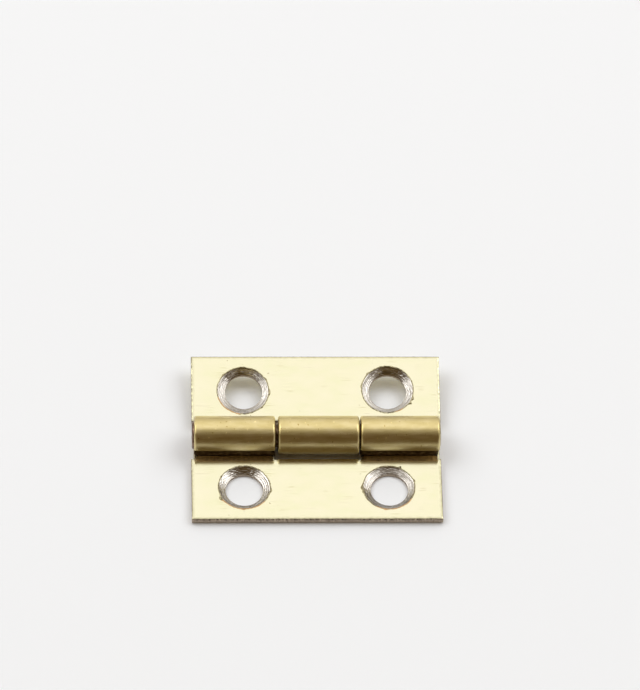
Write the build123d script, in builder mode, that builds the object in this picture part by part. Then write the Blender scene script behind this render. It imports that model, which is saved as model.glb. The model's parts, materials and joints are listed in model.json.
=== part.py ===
from build123d import *
from math import cos, radians, sin
import os

# A small box hinge, pressed from brass-plated steel sheet and lying open on a surface.
# Two countersunk leaves turn on one pin. The near leaf carries the two outer knuckles
# and lies flat. The far leaf carries the middle knuckle and stands a little raised.
# Millimetres, +Z up, X along the pin, Y from the near leaf to the far leaf.
# The origin is on the near leaf's back face, midway between its two screw holes.

# Leaves
leaf_length = 25.4            # along the pin
leaf_width = 9.5              # from the pin's axis to the free edge
sheet_thickness = 0.75
edge_roll = 0.15              # rounding that the press leaves along the back's outline
rest_lift = 10.0              # degrees that the far leaf stands above flat

# Screw holes
hole_diameter = 3.8
countersink_diameter = 5.3
countersink_angle = 118.0
hole_from_edge = 3.85         # hole's centre to the free edge
hole_from_side = 5.35         # hole's centre to the leaf's short side

# Knuckles
curl_angle = 272.0            # how far the sheet is curled round the pin
middle_knuckle = 8.24         # length of the middle knuckle
knuckle_offset = 0.16         # middle knuckle's centre, from the middle of its leaf
side_gap = 0.22               # middle knuckle to outer knuckle, when centred
side_shift = 0.08             # how far the far leaf has slid along the pin
left_inset = 0.24             # outer knuckle's end, in from the leaf's short side
right_inset = 0.09
rim_radius = 0.25             # rounded rims at the knuckles' ends
notch_clearance = 0.15        # knuckle to the notched edge of the opposite leaf

# Pin
pin_diameter = 2.36
pin_clearance = 0.04          # radial, between pin and knuckle
head_diameter = 3.0           # the peened end
head_height = 0.22
tail_length = 0.12            # how far the plain end stands out of its knuckle
tail_chamfer = 0.08

# Sizes that follow from these
bore_radius = pin_diameter / 2 + pin_clearance
knuckle_radius = bore_radius + sheet_thickness
notch_edge = knuckle_radius + notch_clearance
hole_from_axis = leaf_width - hole_from_edge
hole_spacing = leaf_length - 2 * hole_from_side

# Places along the pin
leaf_end = leaf_length / 2
middle_start = knuckle_offset - middle_knuckle / 2
middle_end = knuckle_offset + middle_knuckle / 2
slot_start = middle_start - side_gap
slot_end = middle_end + side_gap
barrel_left = left_inset - leaf_end
barrel_right = leaf_end - right_inset

# The pin's axis, which stands over the surface by the outer radius of the curl
pin_y = hole_from_axis
pin_z = knuckle_radius
pin_axis = Axis((0, pin_y, pin_z), (1, 0, 0))


def section_plane(side, lift, x):
    """Across a leaf at x: its x axis runs outward along the leaf, its y axis off its back.

    side is -1 for the near leaf and 1 for the far one, lift its degrees above flat.
    """
    outward = (0, side * cos(radians(lift)), sin(radians(lift)))
    return Plane(origin=(x, pin_y, pin_z), x_dir=outward, z_dir=(side, 0, 0))


def curl_section(plane):
    """One knuckle with its tab: the sheet runs in under the pin and curls over it."""
    with BuildSketch(plane) as section:
        with BuildLine():
            outer = CenterArc((0, 0), knuckle_radius, -90, -curl_angle)
            inner = CenterArc((0, 0), bore_radius, -90, -curl_angle)
            Line(outer @ 1, inner @ 1)
            Polyline(
                inner @ 0,
                (notch_edge, -bore_radius),
                (notch_edge, -knuckle_radius),
                outer @ 0,
            )
        make_face()
    return section.sketch


def plate_section(plane):
    """The flat of a leaf, from the notched edge to the free edge."""
    with BuildSketch(plane) as section:
        with Locations((notch_edge, -knuckle_radius)):
            Rectangle(leaf_width - notch_edge, sheet_thickness, align=(Align.MIN, Align.MIN))
    return section.sketch


def make_leaf(side, lift, shift, knuckles):
    """A leaf with one curled knuckle for each pair of places along the pin."""
    with BuildPart() as leaf:
        for start, end in knuckles:
            section = curl_section(section_plane(side, lift, shift + start))
            extrude(section, amount=end - start, dir=(1, 0, 0))

        # Rounded rims, which run on along the sides of each tab's back
        rims = leaf.edges().filter_by(GeomType.CIRCLE)
        rims = rims.filter_by(lambda edge: edge.radius > (bore_radius + knuckle_radius) / 2)
        fillet(rims, radius=rim_radius)

        plate = plate_section(section_plane(side, lift, shift - leaf_end))
        extrude(plate, amount=leaf_length, dir=(1, 0, 0))

        # Rolled edge round the back, on the free edge and the two short sides
        middle = section_plane(side, lift, shift)
        outward = Axis(middle.origin, middle.x_dir)
        off_back = Axis(middle.origin, middle.y_dir)
        free_edge = leaf.faces().sort_by(outward)[-1]
        short_sides = [leaf.faces().sort_by(Axis.X)[end] for end in (0, -1)]
        rolled = [face.edges().sort_by(off_back)[0] for face in [free_edge, *short_sides]]
        fillet(rolled, radius=edge_roll)

        # Countersunk screw holes, sunk into the face that the barrel stands on
        hole_row = middle.origin + middle.x_dir * hole_from_axis - middle.y_dir * bore_radius
        with Locations(Plane(origin=hole_row, x_dir=(1, 0, 0), z_dir=middle.y_dir)):
            with GridLocations(hole_spacing, 1, 2, 1):
                CounterSinkHole(
                    radius=hole_diameter / 2,
                    counter_sink_radius=countersink_diameter / 2,
                    counter_sink_angle=countersink_angle,
                )
    return leaf


# Near leaf: flat on the surface, with the two outer knuckles
near_leaf = make_leaf(
    side=-1,
    lift=0,
    shift=0,
    knuckles=[(barrel_left, slot_start), (slot_end, barrel_right)],
)
near_leaf.part.label = "near_leaf"

# Far leaf: raised about the pin, with the middle knuckle
far_leaf = make_leaf(
    side=1,
    lift=rest_lift,
    shift=side_shift,
    knuckles=[(middle_start, middle_end)],
)
far_leaf.part.label = "far_leaf"

# Hinge pin: one end peened to a head, the other cut plain and chamfered
head_end = barrel_left - head_height
tail_end = barrel_right + tail_length
with BuildPart() as hinge_pin:
    with BuildSketch(Plane(origin=(0, pin_y, pin_z), x_dir=(1, 0, 0), z_dir=(0, -1, 0))):
        with BuildLine():
            crown = head_diameter / 2 - head_height
            rim = CenterArc((barrel_left, crown), head_height, 90, 90)
            Polyline(
                rim @ 0,
                (barrel_left, pin_diameter / 2),
                (tail_end - tail_chamfer, pin_diameter / 2),
                (tail_end, pin_diameter / 2 - tail_chamfer),
                (tail_end, 0),
                (head_end, 0),
                rim @ 1,
            )
        make_face()
    revolve(axis=pin_axis)
hinge_pin.part.label = "hinge_pin"

os.makedirs("parts", exist_ok=True)
export_step(near_leaf.part, "parts/near_leaf.step")
export_step(far_leaf.part, "parts/far_leaf.step")
export_step(hinge_pin.part, "parts/hinge_pin.step")
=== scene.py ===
import bmesh
import bpy
import json
import math
import numpy as np
from mathutils import Matrix, Vector
from mathutils.geometry import delaunay_2d_cdt
from typing import NamedTuple


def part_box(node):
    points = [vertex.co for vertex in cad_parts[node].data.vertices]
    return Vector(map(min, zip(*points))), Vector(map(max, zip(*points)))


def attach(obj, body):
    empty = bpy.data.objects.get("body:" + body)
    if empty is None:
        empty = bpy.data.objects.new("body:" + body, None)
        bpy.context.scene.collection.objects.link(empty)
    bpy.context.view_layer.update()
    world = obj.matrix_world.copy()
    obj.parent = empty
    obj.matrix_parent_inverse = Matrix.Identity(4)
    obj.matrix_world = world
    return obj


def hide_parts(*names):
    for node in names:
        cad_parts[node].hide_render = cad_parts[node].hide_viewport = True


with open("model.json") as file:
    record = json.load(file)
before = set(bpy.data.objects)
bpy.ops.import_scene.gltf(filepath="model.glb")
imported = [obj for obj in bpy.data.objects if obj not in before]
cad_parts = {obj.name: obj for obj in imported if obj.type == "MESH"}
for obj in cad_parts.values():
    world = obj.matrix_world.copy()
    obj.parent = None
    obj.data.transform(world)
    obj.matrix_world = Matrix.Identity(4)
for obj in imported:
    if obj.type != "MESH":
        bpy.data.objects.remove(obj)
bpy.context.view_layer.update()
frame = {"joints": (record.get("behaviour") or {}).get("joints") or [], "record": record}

# A small box hinge of brass-plated sheet, lying open on a pale floor. X runs along the pin
# and Y from the near leaf to the far leaf. The origin is on the floor, midway between the near
# leaf's holes. The hinge's sizes are in millimetres, and its meshes and the stage in metres.
MM = 0.001

# Sizes that the frame gives
joint = frame["joints"][0]
mounts = {mount["name"]: mount for mount in frame["record"]["mounts"]}
near_low, near_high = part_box("near_leaf")
pin_low, pin_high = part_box("hinge_pin")
PIN_Y = joint["pos_m"][1] / MM
PIN_Z = joint["pos_m"][2] / MM
LEAF_LENGTH = (near_high.x - near_low.x) / MM
LEAF_WIDTH = PIN_Y - near_low.y / MM
FAR_SHIFT = mounts["far_screw_holes"]["pos_m"][0] / MM
FAR_AXIS = mounts["far_screw_holes"]["axis"]
LIFT = math.atan2(-FAR_AXIS[1], FAR_AXIS[2])
HOLE_SPACING = mounts["near_screw_holes"]["dims"]["spacing_x_mm"]
HOLE_RADIUS = mounts["near_screw_holes"]["dims"]["hole_r_mm"]
HOLE_FROM_AXIS = PIN_Y

# Pressed sheet
SHEET = 0.75
KNUCKLE_RADIUS = PIN_Z
BORE_RADIUS = KNUCKLE_RADIUS - SHEET
CURL_RADIUS = KNUCKLE_RADIUS - SHEET / 2
CURL = math.radians(272)
NOTCH_CLEARANCE = 0.15
NOTCH = KNUCKLE_RADIUS + NOTCH_CLEARANCE

# Where each knuckle starts and stops along the pin, from the middle of its own leaf. The
# barrel's two ends are within 0.06 of the solids, where the photograph shows them.
MIDDLE_TABS = [(-3.96, 4.28)]
OUTER_TABS = [(-12.43, -4.18), (4.50, 12.55)]

# Rounding of the edges toward the sheet's back
EDGE_ROLL = 0.15             # free edge and short sides
RIM_ROLL = 0.25              # ends of the knuckles
TIP_ROLL = 0.08              # where the curl ends
CUT_ROLL = 0.03              # notches beside the knuckles

# Softening of the upper edges: how far in from the edge each ring lies, and how far down
EDGE_SOFTENING = ((0.36, 0), (0.22, 0.003), (0.11, 0.012), (0.04, 0.03))
SOFT_MARGIN = EDGE_SOFTENING[0][0]
EDGE_DROP = 0.06             # how far down the edge itself lies
EDGE_TEARS = 0.012           # how far in the shears have torn it
EDGE_INSET = 0.003           # keeps all of it within the leaf's outline

# Rise of the polished face where the sheet runs in under the barrel, by distance from the axis
RISE = 0.095
RISE_START = 4.2
RISE_SPAN = 2
FADE_START = 0.3
FADE_SPAN = 1.5

# Unevenness of the two faces
FACE_DENTS = 0.003
BACK_WEAR = 0.016

# Countersinks
COUNTERSINK_RADIUS = 2.65
CONE_HALF_ANGLE = math.radians(59)
CONE_DEPTH = (COUNTERSINK_RADIUS - HOLE_RADIUS) / math.tan(CONE_HALF_ANGLE)
GROOVE_DEPTH = 0.016
CHATTER = 0.01
GROOVE_START = 0.6           # where in its wave the first groove begins
HOLE_WAVES = 0.004
BACK_BREAK = 0.02            # the hole's broken edge on the back

# The ragged lip round a countersink: the reach of its rings past the cone, and its height.
# Each has a plain size, then its shares of the waves, the fraying, the tears and the flakes.
LIP_FOOT = (0.03, (0.022, 0.02, 0.04, 1))
LIP_CREST = (0, (0.022, 0.014, 0.025, 0.5))
LIP_EDGE = (-0.06, (0.02, 0, 0, 0.2))
LIP_HEIGHT = (0.014, (0, 0, 0.012, 0.2))
LIP_FALL = 0.2               # share of its height that is left at the cone

# Pin. Its two ends stand out a little less than the solid's, as the photograph shows them.
HEAD_INSET = 0.05
TAIL_INSET = 0.08
PIN_LEFT = pin_low.x / MM + HEAD_INSET
PIN_RIGHT = pin_high.x / MM - TAIL_INSET
PIN_CLEARANCE = 0.04
PIN_RADIUS = BORE_RADIUS - PIN_CLEARANCE
HEAD_RADIUS = 1.5
HEAD_HEIGHT = 0.22
SHOULDER = PIN_LEFT + HEAD_HEIGHT
TAIL_CHAMFER = 0.08
HAMMERING = 0.02             # unevenness of the head's face
SPREAD = 0.05                # unevenness of the head's rim

# Hollow middles of the pin's two ends, as pairs of a depth and a radius
HEAD_HOLLOW = ((0.02, 0.25), (0.01, 0.6), (0, 0.95))
TAIL_HOLLOW = ((0.01, 0.7), (0.02, 0.3))

# Fineness of the meshes
PLATE_STEP = 0.25
CURL_STEP = 0.1
EDGE_STEP = 0.12
CORNER_GAP = 0.05            # from a corner's rounding to the next point
WALL_RINGS = 5
# strips at the top of the cut wall that carry the painted shade
SHADED_TEAR_STRIPS = 2
ROLL_RINGS = 6
HOLE_POINTS = 240
LIP_STRIPS = 2
CONE_RINGS = 32
PIN_POINTS = 96
HEAD_RINGS = 6
WIRE_RINGS = 60
WIRE_START = 0.3             # first ring of the wire, from the shoulder
WELD = 1e-7                  # points closer than this are one
SMOOTH_ANGLE = math.radians(40)

# Height of one strip of faces in the flat coordinates that the materials follow
STRIP = 0.05


# Unevenness


def ripple(points, wavelength, seed, count=6):
    """Gentle unevenness of a surface, from -1 to 1: a few waves in random directions."""
    waves = np.random.default_rng(seed)
    total = np.zeros(len(points))
    for _ in range(count):
        turn, phase = waves.uniform(0, 2 * math.pi, 2)
        pitch = wavelength * waves.uniform(0.6, 1.6)
        along = points[:, 0] * math.cos(turn) + points[:, 1] * math.sin(turn)
        total += np.sin(2 * math.pi * along / pitch + phase)
    return total / count


def wobble(angles, slowest, fastest, seed):
    """Unevenness round a circle, mostly from -1 to 1, that closes on itself."""
    waves = np.random.default_rng(seed)
    total = np.zeros(len(angles))
    for cycles in range(slowest, fastest):
        total += np.sin(cycles * angles + waves.uniform(0, 2 * math.pi))
    return total / (fastest - slowest) ** 0.5 / 1.5


def inner_height(points):
    """Height of the polished face over the sheet's back, with its gentle dents.

    The sheet turns up a little where it runs in under the barrel.
    """
    s = points[:, 1]
    near = np.clip((RISE_START - s) / RISE_SPAN, 0, None)
    rise = RISE * near**2 * np.clip((s - FADE_START) / FADE_SPAN, 0, 1)
    return SHEET + rise + FACE_DENTS * ripple(points, wavelength=7, seed=3)


def outer_height(points):
    """How far the back, and with it the barrel's outside, is worn in."""
    return BACK_WEAR + BACK_WEAR * ripple(points, wavelength=3, seed=8)


# Meshes


class Skin:
    """Points, faces, flat coordinates and finishes of one piece while it is put together."""

    def __init__(self):
        self.points = []
        self.faces = []
        self.flat = []
        self.finishes = []

    def add_points(self, places):
        """Adds points and returns their numbers."""
        first = len(self.points)
        self.points.extend(map(tuple, places))
        return np.arange(first, first + len(places))

    def add_face(self, corners, flat, finish):
        """Adds a face, with the flat coordinates of its corners and its finish."""
        self.faces.append([int(corner) for corner in corners])
        self.flat.extend(flat)
        self.finishes.append(finish)

    def add_strips(self, rings, finish, flat):
        """Joins closed rings of points, each to the next.

        finish and flat give the finish and the flat coordinates at a level and an index.
        """
        count = len(rings[0])
        for level in range(len(rings) - 1):
            lower, upper = rings[level], rings[level + 1]
            for index in range(count):
                after = (index + 1) % count
                corners = (lower[index], lower[after], upper[after], upper[index])
                low = flat(level, index), flat(level, index + 1)
                high = flat(level + 1, index + 1), flat(level + 1, index)
                self.add_face(corners, (*low, *high), finish(level, index))

    def build(self, name, materials):
        """Makes the object, with one material slot for each finish."""
        mesh = bpy.data.meshes.new(name)
        mesh.from_pydata(self.points, [], self.faces)
        order = list(materials)
        for key in order:
            mesh.materials.append(materials[key])
        slots = [order.index(finish) for finish in self.finishes]
        mesh.polygons.foreach_set("material_index", slots)
        layer = mesh.uv_layers.new(name="surface")
        layer.uv.foreach_set("vector", np.array(self.flat, dtype=np.float32).ravel())
        shaped = bmesh.new()
        shaped.from_mesh(mesh)
        bmesh.ops.recalc_face_normals(shaped, faces=shaped.faces)
        for edge in shaped.edges:
            first, second = edge.link_faces
            same = first.material_index == second.material_index
            edge.smooth = same and edge.calc_face_angle() < SMOOTH_ANGLE
        shaped.to_mesh(mesh)
        shaped.free()
        mesh.polygons.foreach_set("use_smooth", [True] * len(mesh.polygons))
        piece = bpy.data.objects.new(name, mesh)
        bpy.context.scene.collection.objects.link(piece)
        return piece


def unrolled(pitch):
    """Flat coordinates of strips that are unrolled, their points a pitch apart."""
    return lambda level, index: (index * pitch, level * STRIP)


def inside(points, loop):
    """Which of the points lie inside a closed loop."""
    within = np.zeros(len(points), dtype=bool)
    x, y = points[:, 0], points[:, 1]
    for start, end in zip(loop, np.roll(loop, -1, axis=0)):
        if start[1] == end[1]:
            continue
        crosses = (start[1] > y) != (end[1] > y)
        where = start[0] + (y - start[1]) * (end[0] - start[0]) / (end[1] - start[1])
        within ^= crosses & (x < where)
    return within


def on_face(points, loops):
    """Which of the points lie inside the first loop, the outline, and outside the others."""
    outline, *holes = loops
    keep = inside(points, outline)
    for hole in holes:
        keep &= ~inside(points, hole)
    return keep


def nearest(points, others):
    """Distance from each point to the nearest of the others."""
    closest = np.full(len(points), np.inf)
    for other in others:
        np.minimum(closest, np.hypot(*(points - other).T), out=closest)
    return closest


def face_grid(loops):
    """A grid of blank points over a face, clear of its loops and finer where it is curled."""
    left, lowest = loops[0].min(axis=0)
    rows = np.concatenate([
        np.arange(lowest + CURL_STEP / 2, NOTCH, CURL_STEP),
        np.arange(NOTCH, LEAF_WIDTH, PLATE_STEP),
    ])
    columns = np.arange(left + PLATE_STEP / 2, LEAF_LENGTH / 2, PLATE_STEP)
    grid = np.array([(x, s) for s in rows for x in columns])
    grid = grid[on_face(grid, loops)]
    return grid[nearest(grid, np.concatenate(loops)) > CURL_STEP * 0.6]


def fill_face(skin, rims, heights, place, finish):
    """Triangulates a face of a leaf between its outline and its holes, over a fine grid.

    rims are pairs of blank points and the skin's indices for them, the outline's first.
    """
    loops = [loop for loop, _ in rims]
    grid = face_grid(loops)
    flat = np.concatenate([*loops, grid])
    added = skin.add_points(place(grid, heights(grid)))
    known = np.concatenate([*(numbers for _, numbers in rims), added])
    sides = []
    start = 0
    for loop in loops:
        count = len(loop)
        sides += [(start + index, start + (index + 1) % count) for index in range(count)]
        start += count
    corners = [Vector(point) for point in flat]
    _, _, triangles, origins, _, _ = delaunay_2d_cdt(corners, sides, [], 0, WELD)
    triangles = np.array([[origins[corner][0] for corner in face] for face in triangles])
    keep = on_face(flat[triangles].mean(axis=1), loops)
    for triangle in triangles[keep]:
        skin.add_face(known[triangle], flat[triangle], finish)


# Pressed leaves: each is laid out as its flat blank and then curled, as the real one is


def curl_sheet(side, lift, shift):
    """Returns what places blank points (x, s) at a height in the sheet.

    s is the distance outward from the pin's axis. Below zero the sheet is curled.
    """
    origin = np.array((shift, PIN_Y, PIN_Z))
    outward = np.array((0, side * math.cos(lift), math.sin(lift)))
    upward = np.array((0, -side * math.sin(lift), math.cos(lift)))

    def place(points, heights):
        radius = KNUCKLE_RADIUS - heights
        s = points[:, 1]
        turn = np.clip(-s / CURL_RADIUS, 0, None)
        out = np.where(s > 0, s, -radius * np.sin(turn))
        up = -radius * np.cos(turn)
        places = origin + np.outer(out, outward) + np.outer(up, upward)
        places[:, 0] += points[:, 0]
        return places * MM

    return place


def blank_corners(tabs):
    """The blank's corners in order, each with the roll of the edge that follows it."""
    half = LEAF_LENGTH / 2
    end = -CURL_RADIUS * CURL
    corners = [(-half, LEAF_WIDTH, EDGE_ROLL), (half, LEAF_WIDTH, EDGE_ROLL)]
    corners.append((half, NOTCH, CUT_ROLL))
    for start, stop in reversed(tabs):
        corners.append((stop, NOTCH, RIM_ROLL))
        corners.append((stop, end, TIP_ROLL))
        corners.append((start, end, RIM_ROLL))
        corners.append((start, NOTCH, CUT_ROLL))
    corners.append((-half, NOTCH, EDGE_ROLL))
    return np.array(corners)


def straight(start, end):
    """Length of a straight edge, its direction and the direction inward from it."""
    length = np.linalg.norm(end - start)
    along = (end - start) / length
    return length, along, np.array((along[1], -along[0]))


def trace_blank(tabs):
    """Points round the blank, their inward directions, and the rolls before and after.

    A corner has the inward directions of both its edges. Other points have only their own.
    """
    corners = blank_corners(tabs)
    traced = []
    for index, (x, s, roll) in enumerate(corners):
        corner = np.array((x, s))
        before = corners[index - 1]
        after = corners[(index + 1) % len(corners)]
        _, _, inward_before = straight(before[:2], corner)
        length, along, inward = straight(corner, after[:2])
        traced.append((*corner, *inward_before, *inward, before[2], roll))
        first = max(before[2], SOFT_MARGIN) + CORNER_GAP
        last = length - max(after[2], SOFT_MARGIN) - CORNER_GAP
        if last > first:
            count = max(round((last - first) / EDGE_STEP), 1)
            for distance in np.linspace(first, last, count + 1):
                traced.append((*(corner + along * distance), 0, 0, *inward, roll, roll))
    return np.array(traced)


def softened_rings(points, mitre, noise):
    """Rings that lead a leaf's face down to its upper edge."""
    rings = []
    for inset, drop in EDGE_SOFTENING:
        ragged = drop * noise.uniform(-0.5, 0.5, len(points))
        flat = points + mitre * (inset + ragged)[:, None]
        rings.append((flat, inner_height(flat) - drop + ragged))
    return rings


def sheared_rings(points, mitre, deepest, noise):
    """Rings down the torn wall, to where the rounding of the back begins."""
    upper = inner_height(points) - EDGE_DROP * noise.uniform(0.8, 1.2, len(points))
    rings = []
    for level in range(WALL_RINGS):
        share = level / WALL_RINGS
        torn = (1 - share) * EDGE_TEARS * noise.uniform(0, 1, len(points)) + EDGE_INSET
        rings.append((points + mitre * torn[:, None], upper - share * (upper - deepest)))
    return rings


def rolled_rings(points, mitre, rolled, deepest):
    """Rings round the rolled edge, from the wall to the back."""
    rings = []
    for level in range(ROLL_RINGS + 1):
        turn = math.pi / 2 * level / ROLL_RINGS
        inset = rolled * (1 - math.cos(turn)) + mitre * EDGE_INSET * (1 - level / ROLL_RINGS)
        worn = outer_height(points) * math.sin(turn)
        rings.append((points + inset, deepest * (1 - math.sin(turn)) + worn))
    return rings


def build_edge(skin, tabs, place, seed):
    """The softened, sheared and rolled edge round a leaf. Returns its top and back loops."""
    traced = trace_blank(tabs)
    points, before, after = traced[:, :2], traced[:, 2:4], traced[:, 4:6]
    roll_before, roll = traced[:, 6], traced[:, 7]
    deepest = np.maximum(roll_before, roll)
    mitre = before + after
    rolled = before * roll_before[:, None] + after * roll[:, None]
    noise = np.random.default_rng(seed)
    rings = softened_rings(points, mitre, noise)
    rings += sheared_rings(points, mitre, deepest, noise)
    rings += rolled_rings(points, mitre, rolled, deepest)
    numbers = [skin.add_points(place(flat, height)) for flat, height in rings]

    def finish(level, index):
        down = level - len(EDGE_SOFTENING)
        # The softened rings by the edge take the rim's painted shade
        if down < -1:
            return "rubbed"
        # The top strips of the cut wall: torn metal, darkened with painted shade under the edge
        if down < SHADED_TEAR_STRIPS and roll[index] != TIP_ROLL:
            return "burr"
        if down >= WALL_RINGS + (0 if roll[index] == RIM_ROLL else ROLL_RINGS // 2):
            return "satin"
        return "tip" if roll[index] == TIP_ROLL else "sheared"

    skin.add_strips(numbers, finish, unrolled(EDGE_STEP))
    return (rings[0][0], numbers[0]), (rings[-1][0], numbers[-1])


class Marks(NamedTuple):
    """What the cutter left at one hole. Directions are in degrees, 0 right and 90 back."""

    seed: int           # seed of the hole's unevenness
    copper: tuple       # from where to where the lip is copper brown
    offset: tuple       # how far the lip is off the hole's centre, right and back
    flakes: tuple       # direction, length and width in degrees of each flake of the lip
    grooves: float      # direction in which the grooves are deepest
    turns: int          # number of grooves from the lip to the hole


def flake_reach(seen, flakes):
    """How far the flakes reach out in each direction."""
    reach = np.zeros(len(seen))
    for toward, length, width in flakes:
        apart = (seen - toward + 180) % 360 - 180
        reach += length * np.exp(-((apart / width) ** 2))
    return reach


def uneven_size(base, size, kinds):
    """A size over a base, with its shares of each kind of unevenness."""
    plain, shares = size
    total = base + plain
    for share, kind in zip(shares, kinds):
        total = total + share * kind
    return total


def cutter_groove(level, angles, seen, marks):
    """How deep the cutter has gone past the cone at one of its rings."""
    share = level / CONE_RINGS
    turned = math.sin(2 * math.pi * share * marks.turns + GROOVE_START) * GROOVE_DEPTH
    depth = 0.45 + 0.55 * np.cos(np.radians(seen) - np.radians(marks.grooves))
    seed = marks.seed + 2 + level // 4
    chatter = CHATTER * wobble(angles, slowest=9, fastest=40, seed=seed)
    return math.sin(math.pi * share) ** 0.5 * (turned * depth + chatter)


def build_hole(skin, centre, side, place, marks):
    """One countersunk hole with its ragged lip. Returns its top and back loops."""
    angles = np.linspace(0, 2 * math.pi, HOLE_POINTS, endpoint=False)
    seen = np.degrees(angles * side) % 360
    torn = np.random.default_rng(marks.seed).uniform(0, 1, HOLE_POINTS)
    waves = wobble(angles, slowest=3, fastest=14, seed=marks.seed + 1)
    frayed = wobble(angles, slowest=14, fastest=48, seed=marks.seed + 60)
    kinds = (waves, frayed, torn, flake_reach(seen, marks.flakes))

    def ring(radius, offset):
        middle = np.array(centre) + np.array(marks.offset) * (1, side) * offset
        return middle + np.column_stack((radius * np.cos(angles), radius * np.sin(angles)))

    lip = uneven_size(0, LIP_HEIGHT, kinds)
    edge = uneven_size(COUNTERSINK_RADIUS, LIP_EDGE, kinds)
    rings = []
    for reach, height in ((LIP_FOOT, 0), (LIP_CREST, lip), (LIP_EDGE, LIP_FALL * lip)):
        flat = ring(uneven_size(COUNTERSINK_RADIUS, reach, kinds), 1)
        rings.append((flat, inner_height(flat) + height))
    turned_up = inner_height(rings[0][0]) - SHEET
    for level in range(1, CONE_RINGS + 1):
        share = level / CONE_RINGS
        groove = cutter_groove(level, angles, seen, marks)
        radius = edge + (HOLE_RADIUS - edge) * share + groove * math.cos(CONE_HALF_ANGLE)
        rim = (LIP_FALL * lip + turned_up) * (1 - share) ** 3
        height = SHEET + rim - CONE_DEPTH * share - groove * math.sin(CONE_HALF_ANGLE)
        rings.append((ring(radius, 1 - share), height))
    rings.append((ring(HOLE_RADIUS + HOLE_WAVES * waves, 0), (SHEET - CONE_DEPTH) / 2))
    rings.append((ring(HOLE_RADIUS, 0), BACK_BREAK))
    back = ring(HOLE_RADIUS + BACK_BREAK, 0)
    rings.append((back, outer_height(back)))
    numbers = [skin.add_points(place(flat, height)) for flat, height in rings]

    def finish(level, index):
        if level < LIP_STRIPS:
            first, last = marks.copper
            return "tip" if first < seen[index] < last else "torn"
        return "steel" if level < LIP_STRIPS + CONE_RINGS else "sheared"

    skin.add_strips(numbers, finish, unrolled(2 * math.pi * COUNTERSINK_RADIUS / HOLE_POINTS))
    return (rings[0][0], numbers[0]), (rings[-1][0], numbers[-1])


def make_leaf(name, side, lift, shift, tabs, holes, materials):
    """A whole leaf: its edges, its holes, its polished face and its satin back."""
    skin = Skin()
    place = curl_sheet(side, lift, shift)
    top, back = build_edge(skin, tabs, place, seed=17 + side)
    tops, backs = [top], [back]
    for x, marks in zip((-HOLE_SPACING / 2, HOLE_SPACING / 2), holes):
        upper, lower = build_hole(skin, (x, HOLE_FROM_AXIS), side, place, marks)
        tops.append(upper)
        backs.append(lower)
    fill_face(skin, tops, inner_height, place, "polished")
    fill_face(skin, backs, outer_height, place, "satin")
    return skin.build(name, materials)


# Pin


def pin_profile():
    """The pin's outline from its head to its tail, as pairs of a place and a radius."""
    profile = [(PIN_LEFT + depth, radius) for depth, radius in HEAD_HOLLOW]
    profile.append((PIN_LEFT, HEAD_RADIUS - HEAD_HEIGHT))
    for degrees in np.linspace(15, 90, HEAD_RINGS):
        turn = math.radians(degrees)
        x = SHOULDER - HEAD_HEIGHT * math.cos(turn)
        profile.append((x, HEAD_RADIUS - HEAD_HEIGHT + HEAD_HEIGHT * math.sin(turn)))
    profile.append((SHOULDER, PIN_RADIUS))
    for x in np.linspace(SHOULDER + WIRE_START, PIN_RIGHT - TAIL_CHAMFER, WIRE_RINGS):
        profile.append((x, PIN_RADIUS))

    # The chamfer, which bulges a little
    profile.append((PIN_RIGHT - TAIL_CHAMFER * 0.4, PIN_RADIUS - TAIL_CHAMFER * 0.35))
    profile.append((PIN_RIGHT, PIN_RADIUS - TAIL_CHAMFER))
    return profile + [(PIN_RIGHT - depth, radius) for depth, radius in TAIL_HOLLOW]


def make_pin(name, materials):
    """The pin: a hammered head on the left, a plain cut end on the right."""
    skin = Skin()
    profile = pin_profile()
    angles = np.linspace(0, 2 * math.pi, PIN_POINTS, endpoint=False)
    rings = []
    for level, (x, radius) in enumerate(profile):
        hammered = np.zeros(PIN_POINTS)
        spread = np.zeros(PIN_POINTS)
        if x < SHOULDER:
            hammered = HAMMERING * (wobble(angles, slowest=2, fastest=9, seed=40 + level) + 1)
        if radius > PIN_RADIUS + SPREAD:
            spread = SPREAD * (1 + wobble(angles, slowest=2, fastest=7, seed=30))
        reach = radius - spread
        places = np.column_stack((
            x + hammered,
            PIN_Y + reach * np.cos(angles),
            PIN_Z + reach * np.sin(angles),
        ))
        rings.append(skin.add_points(places * MM))

    def finish(level, index):
        x, _ = profile[level]
        if x < SHOULDER:
            return "head"
        return "tail" if x > PIN_RIGHT - TAIL_CHAMFER * 2 else "wire"

    def flat(level, index):
        x, radius = profile[level]
        angle = 2 * math.pi * index / PIN_POINTS
        return x + radius * math.cos(angle), radius * math.sin(angle)

    skin.add_strips(rings, finish, flat)
    for level, end in ((0, "head"), (-1, "tail")):
        skin.add_face(rings[level], [flat(level, index) for index in range(PIN_POINTS)], end)
    return skin.build(name, materials)


# Materials


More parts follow.
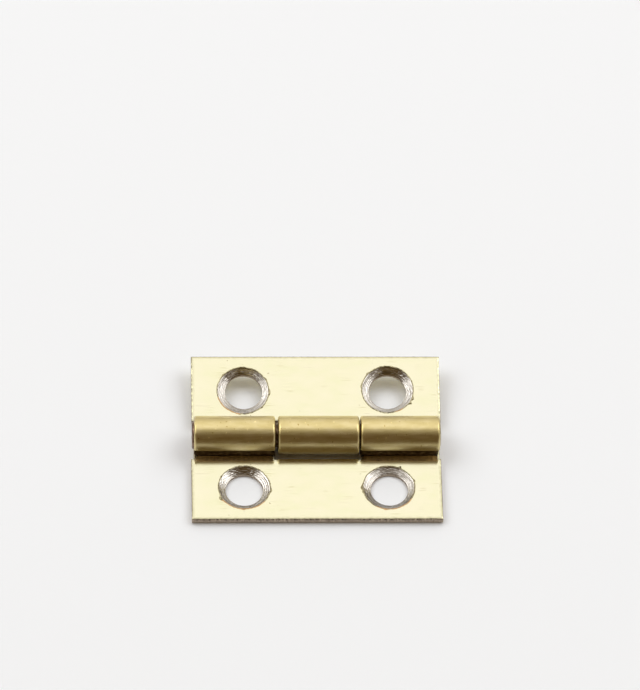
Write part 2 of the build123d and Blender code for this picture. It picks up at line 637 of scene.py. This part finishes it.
class Metal:
    """A metal's material while patterns are joined to its shader."""

    def __init__(self, name):
        self.material = bpy.data.materials.new(name)
        self.material.use_nodes = True
        self.nodes = self.material.node_tree.nodes
        self.links = self.material.node_tree.links
        self.shader = self.nodes["Principled BSDF"]
        self.shader.inputs["Metallic"].default_value = 1

    def flat(self):
        """The piece's flat coordinates, which run along and across each of its surfaces."""
        flat = self.nodes.new("ShaderNodeUVMap")
        flat.uv_map = "surface"
        return flat

    def noise(self, scale, stretch, detail=3.0):
        """Noise over the flat coordinates."""
        mapping = self.nodes.new("ShaderNodeMapping")
        mapping.inputs["Scale"].default_value = (*stretch, 1)
        noise = self.nodes.new("ShaderNodeTexNoise")
        noise.inputs["Scale"].default_value = scale
        noise.inputs["Detail"].default_value = detail
        self.links.new(self.flat().outputs["UV"], mapping.inputs["Vector"])
        self.links.new(mapping.outputs["Vector"], noise.inputs["Vector"])
        return noise

    def shades(self, source, stops):
        """A colour ramp over a pattern: pairs of a place and a colour."""
        ramp = self.nodes.new("ShaderNodeValToRGB")
        elements = ramp.color_ramp.elements
        while len(elements) < len(stops):
            elements.new(0.5)
        for element, (place, colour) in zip(elements, stops):
            element.position = place
            element.color = (*colour, 1)
        self.links.new(source.outputs[0], ramp.inputs["Fac"])
        return ramp

    def ranged(self, source, low, high):
        """A noise, from its usual low of 0.3 to its usual high of 0.7, spread over a range."""
        spread = self.nodes.new("ShaderNodeMapRange")
        spread.inputs["From Min"].default_value = 0.3
        spread.inputs["From Max"].default_value = 0.7
        spread.inputs["To Min"].default_value = low
        spread.inputs["To Max"].default_value = high
        self.links.new(source.outputs[0], spread.inputs["Value"])
        return spread

    def joined(self, operation, first, second):
        """Two patterns worked into one."""
        result = self.nodes.new("ShaderNodeMath")
        result.operation = operation
        self.links.new(first.outputs[0], result.inputs[0])
        self.links.new(second.outputs[0], result.inputs[1])
        return result

    def marked(self, tint, marks):
        """A colour darkened by the colour of its marks."""
        product = self.nodes.new("ShaderNodeVectorMath")
        product.operation = "MULTIPLY"
        self.links.new(tint.outputs[0], product.inputs[0])
        self.links.new(marks.outputs[0], product.inputs[1])
        return product

    def raised(self, source, height, under=None):
        """Bump from a pattern, over another bump where one is given."""
        bump = self.nodes.new("ShaderNodeBump")
        bump.inputs["Strength"].default_value = 1
        bump.inputs["Distance"].default_value = height * MM
        self.links.new(source.outputs[0], bump.inputs["Height"])
        if under:
            self.links.new(under.outputs["Normal"], bump.inputs["Normal"])
        return bump

    def finished(self, tint, gloss, bump):
        """Joins a colour, a roughness and a bump to the shader, and gives the material."""
        self.links.new(tint.outputs[0], self.shader.inputs["Base Color"])
        self.links.new(gloss.outputs["Result"], self.shader.inputs["Roughness"])
        self.links.new(bump.outputs["Normal"], self.shader.inputs["Normal"])
        return self.material


# Colour of the plating, and the mark that leaves it as it is
PLATING = (0.835, 0.815, 0.59)
CLEAN = (1, 1, 1)


def polished_brass():
    """The leaves' faces: bright plated brass with faint rolling lines."""
    metal = Metal("polished_brass")
    tint = metal.shades(metal.noise(scale=0.35, stretch=(1, 1.6)), [
        (0.35, (0.82, 0.81, 0.565)),
        (0.50, PLATING),
        (0.65, (0.845, 0.82, 0.61)),
    ])
    hairs = metal.noise(scale=1, stretch=(0.3, 11), detail=2)
    patches = metal.noise(scale=0.45, stretch=(1, 1), detail=1)
    scratches = metal.shades(metal.joined("MULTIPLY", hairs, patches), [
        (0.37, CLEAN),
        (0.41, (0.90, 0.88, 0.81)),
    ])
    specks = metal.shades(metal.noise(scale=2.6, stretch=(1, 1), detail=2), [
        (0.73, CLEAN),
        (0.76, (0.50, 0.42, 0.25)),
    ])
    worn = metal.marked(metal.marked(tint, scratches), specks)
    lines = metal.noise(scale=1, stretch=(0.6, 26), detail=5)
    return metal.finished(worn, metal.ranged(lines, 0.10, 0.17), metal.raised(lines, 0.0006))


def satin_brass():
    """The barrel's outside and the backs: duller brass with lengthwise streaks, pits, dark specks
    and painted glints.
    """
    metal = Metal("satin_brass")
    tint = metal.shades(metal.noise(scale=1.1, stretch=(0.5, 1.5)), [
        (0.35, (0.84, 0.70, 0.32)),
        (0.50, (0.91, 0.77, 0.375)),
        (0.65, (0.98, 0.84, 0.445)),
    ])
    # Bright specks are painted glints: full colour there, three quarters of it elsewhere. The dark
    # specks are darker spots, and all of them are bumped too
    specks = metal.shades(metal.noise(scale=2.8, stretch=(1, 1), detail=2), [
        (0.27, CLEAN),
        (0.32, (0.75, 0.75, 0.75)),
        (0.68, (0.75, 0.745, 0.74)),
        (0.72, (0.45, 0.38, 0.25)),
    ])
    streaks = metal.noise(scale=1, stretch=(0.5, 12), detail=5)
    pits = metal.noise(scale=7, stretch=(1, 1), detail=4)
    drawn = metal.raised(streaks, 0.004)
    pitted = metal.raised(pits, 0.006, under=drawn)
    bump = metal.raised(specks, 0.02, under=pitted)
    return metal.finished(metal.marked(tint, specks), metal.ranged(streaks, 0.29, 0.38), bump)


def shaded_rim():
    """The outer rim of the polished faces, with painted shade that darkens its colour toward the
    edge, unevenly, over a slightly rougher finish.
    """
    metal = Metal("shaded_rim")
    split = metal.nodes.new("ShaderNodeSeparateXYZ")
    metal.links.new(metal.flat().outputs["UV"], split.inputs["Vector"])
    nearness = metal.nodes.new("ShaderNodeMapRange")
    nearness.inputs["From Max"].default_value = STRIP * (len(EDGE_SOFTENING) - 1)
    metal.links.new(split.outputs["Y"], nearness.inputs["Value"])
    rubs = metal.noise(scale=2, stretch=(1, 6), detail=4)
    shade_and_rubs = metal.joined("ADD", nearness, metal.ranged(rubs, -0.15, 0.15))
    # Painted shade: the colour darkens toward the upper edge, in place of the edge's darker
    # reflection
    tint = metal.shades(shade_and_rubs, [
        (0.0, PLATING),
        (0.35, (0.77, 0.745, 0.52)),
        (0.7, (0.56, 0.545, 0.37)),
        (1.0, (0.34, 0.32, 0.20)),
    ])
    return metal.finished(tint, metal.ranged(rubs, 0.12, 0.22), metal.raised(rubs, 0.002))


def one_pattern(name, stops, scale, stretch, detail, gloss, height):
    """A metal whose colour, roughness and bump all follow one noise."""
    metal = Metal(name)
    pattern = metal.noise(scale, stretch, detail)
    tint = metal.shades(pattern, stops)
    return metal.finished(tint, metal.ranged(pattern, *gloss), metal.raised(pattern, height))


def bare_steel():
    """The countersinks, cut through the plating and left with the cutter's rings."""
    stops = [
        (0.32, (0.29, 0.27, 0.24)),
        (0.50, (0.58, 0.555, 0.51)),
        (0.66, (0.81, 0.79, 0.75)),
    ]
    return one_pattern(
        "bare_steel", stops, scale=1, stretch=(0.35, 6), detail=4, gloss=(0.18, 0.30), height=0.012
    )


def sheared_edge():
    """Cut edges: torn steel with smears of brass."""
    stops = [
        (0.30, (0.17, 0.13, 0.10)),
        (0.44, (0.43, 0.35, 0.28)),
        (0.58, (0.52, 0.44, 0.35)),
        (0.70, (0.80, 0.71, 0.57)),
    ]
    return one_pattern(
        "sheared_edge", stops, scale=2.2, stretch=(4, 1), detail=6, gloss=(0.35, 0.55), height=0.02
    )


def worn_tip():
    """The cut ends of the curls, rubbed to a dull copper brown."""
    stops = [
        (0.35, (0.50, 0.32, 0.15)),
        (0.50, (0.66, 0.44, 0.22)),
        (0.65, (0.78, 0.56, 0.32)),
    ]
    return one_pattern(
        "worn_tip", stops, scale=4, stretch=(1, 2), detail=5, gloss=(0.6, 0.8), height=0.02
    )


def torn_metal(name, dark, middle, light):
    """A ragged lip left by the countersink, or the torn top of a cut wall with painted shade, from
    dark to light.
    """
    stops = [(0.38, dark), (0.52, middle), (0.66, light)]
    return one_pattern(
        name, stops, scale=5, stretch=(1, 1), detail=4, gloss=(0.35, 0.6), height=0.02
    )


def pin_steel(name, dark, middle, light):
    """The pin's drawn wire, or one of its ends, stained from dark to light."""
    stops = [(0.35, dark), (0.52, middle), (0.68, light)]
    return one_pattern(
        name, stops, scale=2, stretch=(1, 2), detail=5, gloss=(0.3, 0.45), height=0.02
    )


# Stage


def make_floor():
    """The pale floor that the hinge lies on."""
    bpy.ops.mesh.primitive_plane_add(size=7)
    floor = bpy.context.object
    floor.name = "floor"
    material = bpy.data.materials.new("floor")
    material.use_nodes = True
    shader = material.node_tree.nodes["Principled BSDF"]
    shader.inputs["Base Color"].default_value = (0.905, 0.945, 0.99, 1)
    shader.inputs["Roughness"].default_value = 0.3
    floor.data.materials.append(material)


def direction(azimuth, elevation):
    """A level turn from +Y toward +X and a rise from level, both in degrees, as a vector."""
    turn, rise = math.radians(azimuth), math.radians(elevation)
    return Vector((
        math.sin(turn) * math.cos(rise),
        math.cos(turn) * math.cos(rise),
        math.sin(rise),
    ))


def softbox(name, azimuth, elevation, distance, width, height, radiance):
    """A plain soft light that faces the hinge. Azimuth runs from behind it to the right."""
    light = bpy.data.lights.new(name, "AREA")
    light.shape = "RECTANGLE"
    light.size = width
    light.size_y = height
    light.energy = radiance * math.pi * width * height
    lamp = bpy.data.objects.new(name, light)
    bpy.context.scene.collection.objects.link(lamp)
    away = direction(azimuth, elevation)
    lamp.location = away * distance
    lamp.rotation_euler = away.to_track_quat("Z", "Y").to_euler()


def light_studio():
    """Softboxes behind, above, at the sides and low in front, in a dim room."""
    softbox("low_light", 0, 18.5, distance=1.25, width=3.4, height=0.6, radiance=0.84)
    softbox("back_light", 0, 59.5, distance=1.25, width=3.2, height=1.3, radiance=1.07)
    softbox("top_light", 180, 82, distance=1.25, width=1.6, height=0.62, radiance=0.235)
    for side in (-1, 1):
        softbox("side_light", side * 76, 48, distance=1.3, width=1.0, height=0.9, radiance=1.8)
        softbox("front_light", side * 125, 14, distance=1.3, width=1.3, height=0.6, radiance=0.45)
    world = bpy.data.worlds.new("room")
    bpy.context.scene.world = world
    world.use_nodes = True
    world.node_tree.nodes["Background"].inputs["Color"].default_value = (0.106, 0.06, 0.014, 1)


def aim_camera():
    """The photograph's long lens, from the front and above and rolled a little."""
    view = direction(azimuth=3.685, elevation=-53.822)
    roll = math.radians(2.957)
    target = Vector((0.000748, 0.018424, 0))
    distance = 0.71157
    camera = bpy.data.objects.new("camera", bpy.data.cameras.new("camera"))
    bpy.context.scene.collection.objects.link(camera)
    camera.data.lens = 360.82
    camera.data.clip_start = 0.01
    place = Matrix.Translation(target - view * distance)
    aim = view.to_track_quat("-Z", "Y").to_matrix().to_4x4()
    camera.matrix_world = place @ aim @ Matrix.Rotation(roll, 4, "Z")
    bpy.context.scene.camera = camera


# Hinge

sheet_finishes = {
    "polished": polished_brass(),
    "satin": satin_brass(),
    "steel": bare_steel(),
    "sheared": sheared_edge(),
    "torn": torn_metal("torn_lip", (0.11, 0.09, 0.045), (0.34, 0.30, 0.17), (0.62, 0.57, 0.38)),
    # The cut wall's torn top: its dark colours are partly painted shade under the edge
    "burr": torn_metal("torn_shaded_tear", (0.09, 0.065, 0.05), (0.34, 0.26, 0.19), (0.70, 0.59, 0.45)),
    "tip": worn_tip(),
    # painted shade along the upper edges of the faces
    "rubbed": shaded_rim(),
}
pin_finishes = {
    "wire": pin_steel("pin_wire", (0.07, 0.045, 0.025), (0.12, 0.08, 0.045), (0.22, 0.16, 0.10)),
    "head": pin_steel("pin_head", (0.10, 0.05, 0.03), (0.20, 0.12, 0.08), (0.38, 0.28, 0.20)),
    "tail": pin_steel("pin_tail", (0.28, 0.25, 0.20), (0.46, 0.42, 0.35), (0.62, 0.58, 0.50)),
}

near_holes = (
    Marks(
        seed=11,
        copper=(215, 320),
        offset=(0, 0.04),
        flakes=((210, 0.26, 5), (352, 0.12, 5), (268, 0.12, 4), (150, 0.06, 4), (300, 0.05, 3)),
        grooves=310,
        turns=4,
    ),
    Marks(
        seed=23,
        copper=(240, 330),
        offset=(-0.06, 0),
        flakes=((180, 0.16, 6), (64, 0.24, 2.5), (262, 0.1, 4), (18, 0.07, 6), (192, 0.1, 2)),
        grooves=60,
        turns=6,
    ),
)
far_holes = (
    Marks(
        seed=37,
        copper=(195, 262),
        offset=(-0.07, -0.04),
        flakes=((355, 0.13, 7), (315, 0.08, 4), (138, 0.08, 3), (28, 0.07, 4), (262, 0.06, 5)),
        grooves=20,
        turns=5,
    ),
    Marks(
        seed=41,
        copper=(285, 305),
        offset=(0, 0.08),
        flakes=((338, 0.2, 5), (326, 0.24, 3), (138, 0.09, 4), (172, 0.07, 4)),
        grooves=200,
        turns=5,
    ),
)

near_leaf = make_leaf(
    "near_leaf_pressed",
    side=-1,
    lift=0,
    shift=0,
    tabs=OUTER_TABS,
    holes=near_holes,
    materials=sheet_finishes,
)
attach(near_leaf, "near_side")
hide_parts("near_leaf")

far_leaf = make_leaf(
    "far_leaf_pressed",
    side=1,
    lift=LIFT,
    shift=FAR_SHIFT,
    tabs=MIDDLE_TABS,
    holes=far_holes,
    materials=sheet_finishes,
)
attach(far_leaf, "far_side")
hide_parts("far_leaf")

pin = make_pin("pin_peened", pin_finishes)
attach(pin, "near_side")
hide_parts("hinge_pin")

make_floor()
light_studio()
aim_camera()
bpy.context.scene.view_settings.view_transform = "Standard"
